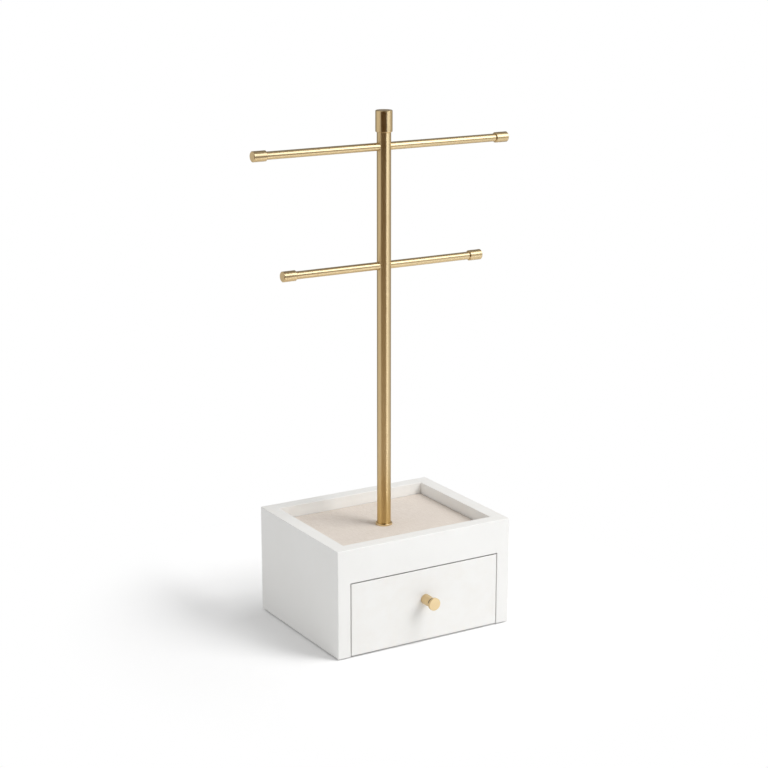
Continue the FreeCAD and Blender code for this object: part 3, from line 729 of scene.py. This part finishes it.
def cut_opening(bm):
    """Cuts the front wall below the rail, from side to side, and closes its cheeks and soffit."""
    def cut(co, no):
        faces = front_faces(bm)
        edges = {e for f in faces for e in f.edges}
        verts = {v for f in faces for v in f.verts}
        bmesh.ops.bisect_plane(bm, geom=[*faces, *edges, *verts], dist=1e-7, plane_co=co, plane_no=no)

    def in_opening(face):
        middle = face.calc_center_median()
        return middle.z < opening_top and abs(middle.x) < inner_x - NEAR

    def at_corner(vert):
        return abs(vert.co.z - opening_top) < NEAR and abs(abs(vert.co.x) - inner_x) < NEAR

    cut((0, 0, opening_top), (0, 0, 1))
    cut((inner_x, 0, 0), (1, 0, 0))
    cut((-inner_x, 0, 0), (1, 0, 0))
    gone = [f for f in front_faces(bm) if in_opening(f)]
    bmesh.ops.delete(bm, geom=gone, context="FACES")
    bmesh.ops.delete(bm, geom=[e for e in bm.edges if not e.link_faces], context="EDGES")
    open_edges = [e for e in bm.edges if e.is_boundary]
    corners = [v for v in bm.verts if at_corner(v)]
    for side in (-1, 1):
        pair = [v for v in corners if v.co.x * side > 0 and v.is_boundary]
        pair = [min(pair, key=lambda v: v.co.y), max(pair, key=lambda v: v.co.y)]
        open_edges.append(bm.edges.new(pair))
    bmesh.ops.edgenet_fill(bm, edges=open_edges)


EASING = 0.5 * MM
SHARP = 0.5                     # radians; a flatter edge is no edge


def soften(bm):
    """Rounds the edges that show: outside, round the rim, round the opening and in the tray's corners."""
    def on_outside(vert):
        return abs(abs(vert.co.x) - half_width) < NEAR or abs(abs(vert.co.y) - half_depth) < NEAR

    def shows(edge):
        if len(edge.link_faces) != 2 or edge.calc_face_angle() < SHARP:
            return False
        low, high = sorted((v.co for v in edge.verts), key=lambda co: co.z)
        outside = all(on_outside(v) for v in edge.verts)
        rim = abs(low.z - case_top) < NEAR
        corner = abs(low.z - deck_high[2]) < NEAR and abs(high.z - case_top) < NEAR
        return outside or rim or corner

    edges = [e for e in bm.edges if shows(e)]
    bmesh.ops.bevel(
        bm, geom=edges, offset=EASING, offset_type="OFFSET", segments=4, profile=0.5, affect="EDGES",
        material=-1, clamp_overlap=True,
    )


WAVES = 60                      # a metre
PRESSED_EDGE = 0.35             # how much thinner a sheet is at its cut edge


def laid_cloth(node, step, thickness, ripple, seed, hole=0.0):
    """A sheet cut to the node's outline, with a soft edge, slight waves and a hole of that radius."""
    low, high = (Vector(c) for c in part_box(node))
    size_x, size_y = high.x - low.x, high.y - low.y
    bm = bmesh.new()
    bmesh.ops.create_grid(
        bm, x_segments=max(2, round(size_x / step)), y_segments=max(2, round(size_y / step)), size=0.5
    )
    reach = max(v.co.x for v in bm.verts) * 2
    bmesh.ops.scale(bm, vec=(size_x / reach, size_y / reach, 1), verts=bm.verts[:])
    bmesh.ops.translate(bm, vec=((low.x + high.x) / 2, (low.y + high.y) / 2, low.z), verts=bm.verts[:])
    if hole:
        inside = [f for f in bm.faces if math.hypot(*f.calc_center_median()[:2]) < hole + step * 0.6]
        bmesh.ops.delete(bm, geom=inside, context="FACES")
        rim = {v for e in bm.edges if e.is_boundary for v in e.verts if math.hypot(*v.co[:2]) < hole * 3}
        for vert in rim:
            out = Vector((vert.co.x, vert.co.y, 0)).normalized() * hole
            vert.co.x, vert.co.y = out.x, out.y
    bmesh.ops.recalc_face_normals(bm, faces=bm.faces[:])
    if bm.faces[0].normal.z < 0:
        bmesh.ops.reverse_faces(bm, faces=bm.faces[:])
    made = bmesh.ops.extrude_face_region(bm, geom=bm.faces[:])
    for vert in new_verts(made):
        edge = min(vert.co.x - low.x, high.x - vert.co.x, vert.co.y - low.y, high.y - vert.co.y)
        wave = noise.noise(Vector((vert.co.x * WAVES, vert.co.y * WAVES, seed)))
        lift = thickness - ripple * (0.5 - 0.5 * wave)
        vert.co.z = low.z + lift - (PRESSED_EDGE * thickness if edge < step * 0.5 else 0)
    bmesh.ops.recalc_face_normals(bm, faces=bm.faces[:])
    return bm, size_x, size_y


def linen(material):
    """The linen on its card in the tray, with the post's hole."""
    bm, width, length = laid_cloth(
        "tray_linen", step=1.6 * MM, thickness=0.6 * MM, ripple=0.06 * MM, seed=3.0, hole=post_hole
    )
    piece = finish_piece("linen_sheet", bm, material, "case", "linen", "tray_linen")


def drawer_lining(material):
    """The felt on the drawer's bottom."""
    bm, width, length = laid_cloth(
        "drawer_felt", step=2.0 * MM, thickness=1.5 * MM, ripple=0.12 * MM, seed=11.0
    )
    piece = finish_piece("drawer_lining", bm, material, "drawer", "drawer_felt", "drawer_felt")


def foot_felt(material):
    """The felt that the case stands on, glued flat."""
    bm, width, length = laid_cloth(
        "base_felt", step=3.0 * MM, thickness=1.0 * MM, ripple=0.0, seed=17.0
    )
    piece = finish_piece("foot_felt", bm, material, "case", "base_felt", "base_felt")


# ---------------------------------------------------------------- dressing the solids

def dress(finishes):
    """Gives every CAD solid its finish in its own material slots."""
    for name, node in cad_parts.items():
        for slot in node.material_slots:
            slot.material = finishes[name]


def main():
    """The stage, the finishes and the pieces, in that order."""
    set_camera()
    set_stage()

    lacquer, board, paint, card = satin_lacquer(), fibreboard(), thin_paint(), grey_card()
    wood, steel = beech_wood(), zinc_steel()
    linen_finish = linen_cloth()
    lining_finish = felt_cloth("lining_felt", (0.55, 0.49, 0.42), (0.74, 0.68, 0.61), 0.35)
    foot_finish = felt_cloth("foot_felt", (0.20, 0.19, 0.18), (0.38, 0.37, 0.355), 0.2)
    post_brass = tube_brass("post_brass", 2, POST_GLOSS, POST_STRETCH, foot_shaded=True)
    bar_brass = tube_brass("bar_brass", 0, BAR_GLOSS, BAR_STRETCH)
    cap_brass = turned_brass("cap_brass", 2, TURNED_GLOSS, TURNED_STRETCH)
    ring_brass = turned_brass("ring_brass", 2, RING_GLOSS, RING_STRETCH)
    end_brass = turned_brass("end_brass", 0, TURNED_GLOSS, TURNED_STRETCH)
    knob_neck = (knob_low[1] + NECK_START, knob_low[1] + NECK_END, knob_axis_height)
    knob_brass = turned_brass("knob_brass", 1, TURNED_GLOSS, TURNED_STRETCH, knob_neck)

    finishes = {
        "left_side_panel": lacquer, "right_side_panel": lacquer,
        "front_rail": lacquer, "back_panel": lacquer, "drawer_front": lacquer,
        "case_floor": board, "tray_deck": board, "tray_card": card,
        "tray_linen": linen_finish, "drawer_felt": lining_finish, "base_felt": foot_finish,
        "case_dowels": wood, "drawer_dowels": wood,
        "drawer_left_side": paint, "drawer_right_side": paint,
        "drawer_back": paint, "drawer_bottom": paint,
        "post_tube": post_brass, "post_cap": cap_brass, "post_base_ring": ring_brass,
        "upper_bar": bar_brass, "upper_left_end_cap": end_brass, "upper_right_end_cap": end_brass,
        "lower_bar": bar_brass, "lower_left_end_cap": end_brass, "lower_right_end_cap": end_brass,
        "post_plug": steel, "post_bolt": steel, "post_washer": steel,
        "drawer_knob": knob_brass, "knob_screw": steel,
    }
    dress(finishes)
    case_skin(lacquer)
    linen(linen_finish)
    drawer_lining(lining_finish)
    foot_felt(foot_finish)

    scene.view_settings.view_transform = "Standard"


main()
